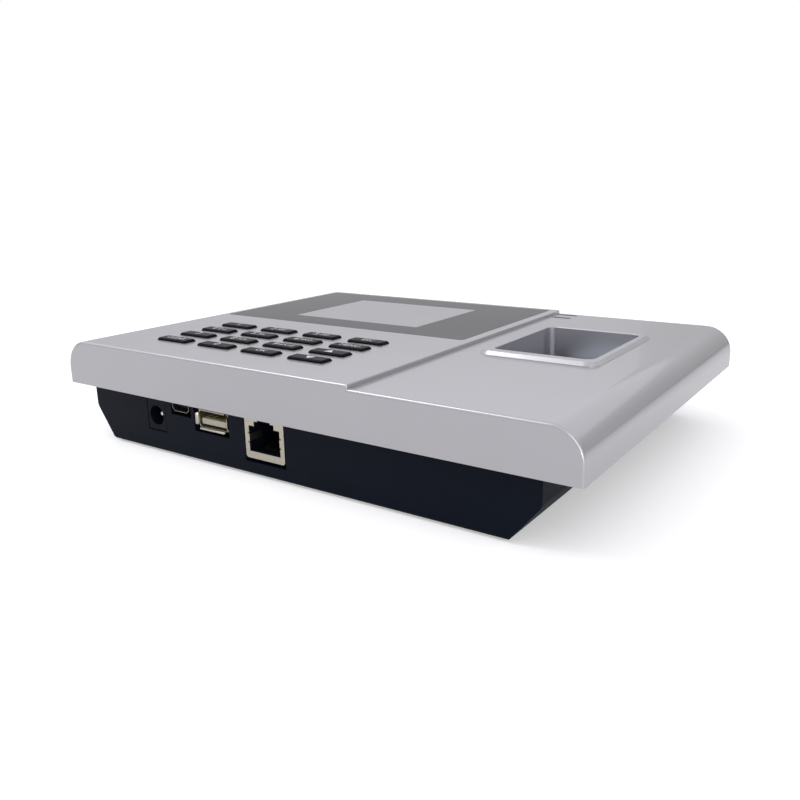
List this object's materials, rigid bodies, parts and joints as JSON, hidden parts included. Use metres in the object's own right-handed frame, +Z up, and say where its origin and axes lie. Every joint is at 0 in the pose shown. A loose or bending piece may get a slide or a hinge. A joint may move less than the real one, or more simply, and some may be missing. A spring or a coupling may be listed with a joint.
{
  "type": "attendance time clock",
  "caption": "Flat desk or wall attendance terminal with a keypad, a screen, a finger well and sockets, on a black wedge-sided housing.",
  "frame": {"origin": "middle of the outline, on the surface that the rubber feet stand on", "axes": "+Z up out of the keypad, +X to the right as the keys are read, +Y away from the socket side"},
  "size_m": [0.19, 0.14, 0.0358],
  "materials": {
    "silver_paint": "satin silver paint on moulded plastic",
    "black_plastic": "fine spark texture",
    "foot_rubber": "matt",
    "steel": "plain zinc plate",
    "black_glass": "glossy black printed window",
    "display_glass": "polarised display glass",
    "circuit_board": "green solder mask",
    "gold_plate": "gold plated",
    "key_rubber": "coated silicone rubber",
    "sensor_glass": "polished optical glass",
    "chip_plastic": "moulded epoxy",
    "lamp_plastic": "clear epoxy over a lamp",
    "smoked_plastic": "smoked light guide",
    "socket_plastic": "glass filled plastic",
    "white_plastic": "natural nylon",
    "nickel": "dull nickel plate",
    "speaker_paper": "pressed paper",
    "ribbon_film": "flat cable film"
  },
  "bodies": {
    "clock": {"battery_holder": "chip_plastic", "board_capacitors": "steel", "board_chips": "chip_plastic", "board_screws": "steel", "cable_plugs": "white_plastic", "case_screws": "steel", "clock_battery": "steel", "display_backlight": "white_plastic", "display_board": "circuit_board", "display_frame": "steel", "display_glass": "display_glass", "display_ribbon": "ribbon_film", "front_cover": "silver_paint", "indicator_board": "circuit_board", "indicator_lamps": "lamp_plastic", "indicator_window": "smoked_plastic", "key_board": "circuit_board", "key_contacts": "gold_plate", "key_mat": "key_rubber", "key_ribbon": "ribbon_film", "main_board": "circuit_board", "network_socket_core": "socket_plastic", "network_socket_shell": "nickel", "network_socket_wires": "gold_plate", "power_jack_body": "socket_plastic", "power_jack_pin": "nickel", "rear_housing": "black_plastic", "rubber_feet": "foot_rubber", "screen_window": "black_glass", "sensor_board": "circuit_board", "sensor_camera": "chip_plastic", "sensor_glass": "sensor_glass", "sensor_housing": "black_plastic", "sensor_lamps": "lamp_plastic", "sensor_ribbon": "ribbon_film", "service_socket_shell": "nickel", "service_socket_tongue": "socket_plastic", "speaker_basket": "steel", "speaker_cone": "speaker_paper", "speaker_magnet": "steel", "stick_socket_contacts": "gold_plate", "stick_socket_shell": "nickel", "stick_socket_stand": "white_plastic", "stick_socket_tongue": "white_plastic"},
    "key_1_press": {"key_1": "key_rubber"},
    "key_2_press": {"key_2": "key_rubber"},
    "key_3_press": {"key_3": "key_rubber"},
    "key_4_press": {"key_4": "key_rubber"},
    "key_5_press": {"key_5": "key_rubber"},
    "key_6_press": {"key_6": "key_rubber"},
    "key_7_press": {"key_7": "key_rubber"},
    "key_8_press": {"key_8": "key_rubber"},
    "key_9_press": {"key_9": "key_rubber"},
    "key_10_press": {"key_10": "key_rubber"},
    "key_11_press": {"key_11": "key_rubber"},
    "key_12_press": {"key_12": "key_rubber"},
    "key_13_press": {"key_13": "key_rubber"},
    "key_14_press": {"key_14": "key_rubber"},
    "key_15_press": {"key_15": "key_rubber"},
    "key_16_press": {"key_16": "key_rubber"}
  },
  "joints": [
    {"name": "key_1_travel", "type": "slide", "parent": "clock", "child": "key_1_press", "axis": [0, 0, -1], "range_m": [0, 0.0008], "stiffness_N_per_m": 800, "springref_m": -0.0006},
    {"name": "key_2_travel", "type": "slide", "parent": "clock", "child": "key_2_press", "axis": [0, 0, -1], "range_m": [0, 0.0008], "stiffness_N_per_m": 800, "springref_m": -0.0006},
    {"name": "key_3_travel", "type": "slide", "parent": "clock", "child": "key_3_press", "axis": [0, 0, -1], "range_m": [0, 0.0008], "stiffness_N_per_m": 800, "springref_m": -0.0006},
    {"name": "key_4_travel", "type": "slide", "parent": "clock", "child": "key_4_press", "axis": [0, 0, -1], "range_m": [0, 0.0008], "stiffness_N_per_m": 800, "springref_m": -0.0006},
    {"name": "key_5_travel", "type": "slide", "parent": "clock", "child": "key_5_press", "axis": [0, 0, -1], "range_m": [0, 0.0008], "stiffness_N_per_m": 800, "springref_m": -0.0006},
    {"name": "key_6_travel", "type": "slide", "parent": "clock", "child": "key_6_press", "axis": [0, 0, -1], "range_m": [0, 0.0008], "stiffness_N_per_m": 800, "springref_m": -0.0006},
    {"name": "key_7_travel", "type": "slide", "parent": "clock", "child": "key_7_press", "axis": [0, 0, -1], "range_m": [0, 0.0008], "stiffness_N_per_m": 800, "springref_m": -0.0006},
    {"name": "key_8_travel", "type": "slide", "parent": "clock", "child": "key_8_press", "axis": [0, 0, -1], "range_m": [0, 0.0008], "stiffness_N_per_m": 800, "springref_m": -0.0006},
    {"name": "key_9_travel", "type": "slide", "parent": "clock", "child": "key_9_press", "axis": [0, 0, -1], "range_m": [0, 0.0008], "stiffness_N_per_m": 800, "springref_m": -0.0006},
    {"name": "key_10_travel", "type": "slide", "parent": "clock", "child": "key_10_press", "axis": [0, 0, -1], "range_m": [0, 0.0008], "stiffness_N_per_m": 800, "springref_m": -0.0006},
    {"name": "key_11_travel", "type": "slide", "parent": "clock", "child": "key_11_press", "axis": [0, 0, -1], "range_m": [0, 0.0008], "stiffness_N_per_m": 800, "springref_m": -0.0006},
    {"name": "key_12_travel", "type": "slide", "parent": "clock", "child": "key_12_press", "axis": [0, 0, -1], "range_m": [0, 0.0008], "stiffness_N_per_m": 800, "springref_m": -0.0006},
    {"name": "key_13_travel", "type": "slide", "parent": "clock", "child": "key_13_press", "axis": [0, 0, -1], "range_m": [0, 0.0008], "stiffness_N_per_m": 800, "springref_m": -0.0006},
    {"name": "key_14_travel", "type": "slide", "parent": "clock", "child": "key_14_press", "axis": [0, 0, -1], "range_m": [0, 0.0008], "stiffness_N_per_m": 800, "springref_m": -0.0006},
    {"name": "key_15_travel", "type": "slide", "parent": "clock", "child": "key_15_press", "axis": [0, 0, -1], "range_m": [0, 0.0008], "stiffness_N_per_m": 800, "springref_m": -0.0006},
    {"name": "key_16_travel", "type": "slide", "parent": "clock", "child": "key_16_press", "axis": [0, 0, -1], "range_m": [0, 0.0008], "stiffness_N_per_m": 800, "springref_m": -0.0006}
  ]
}
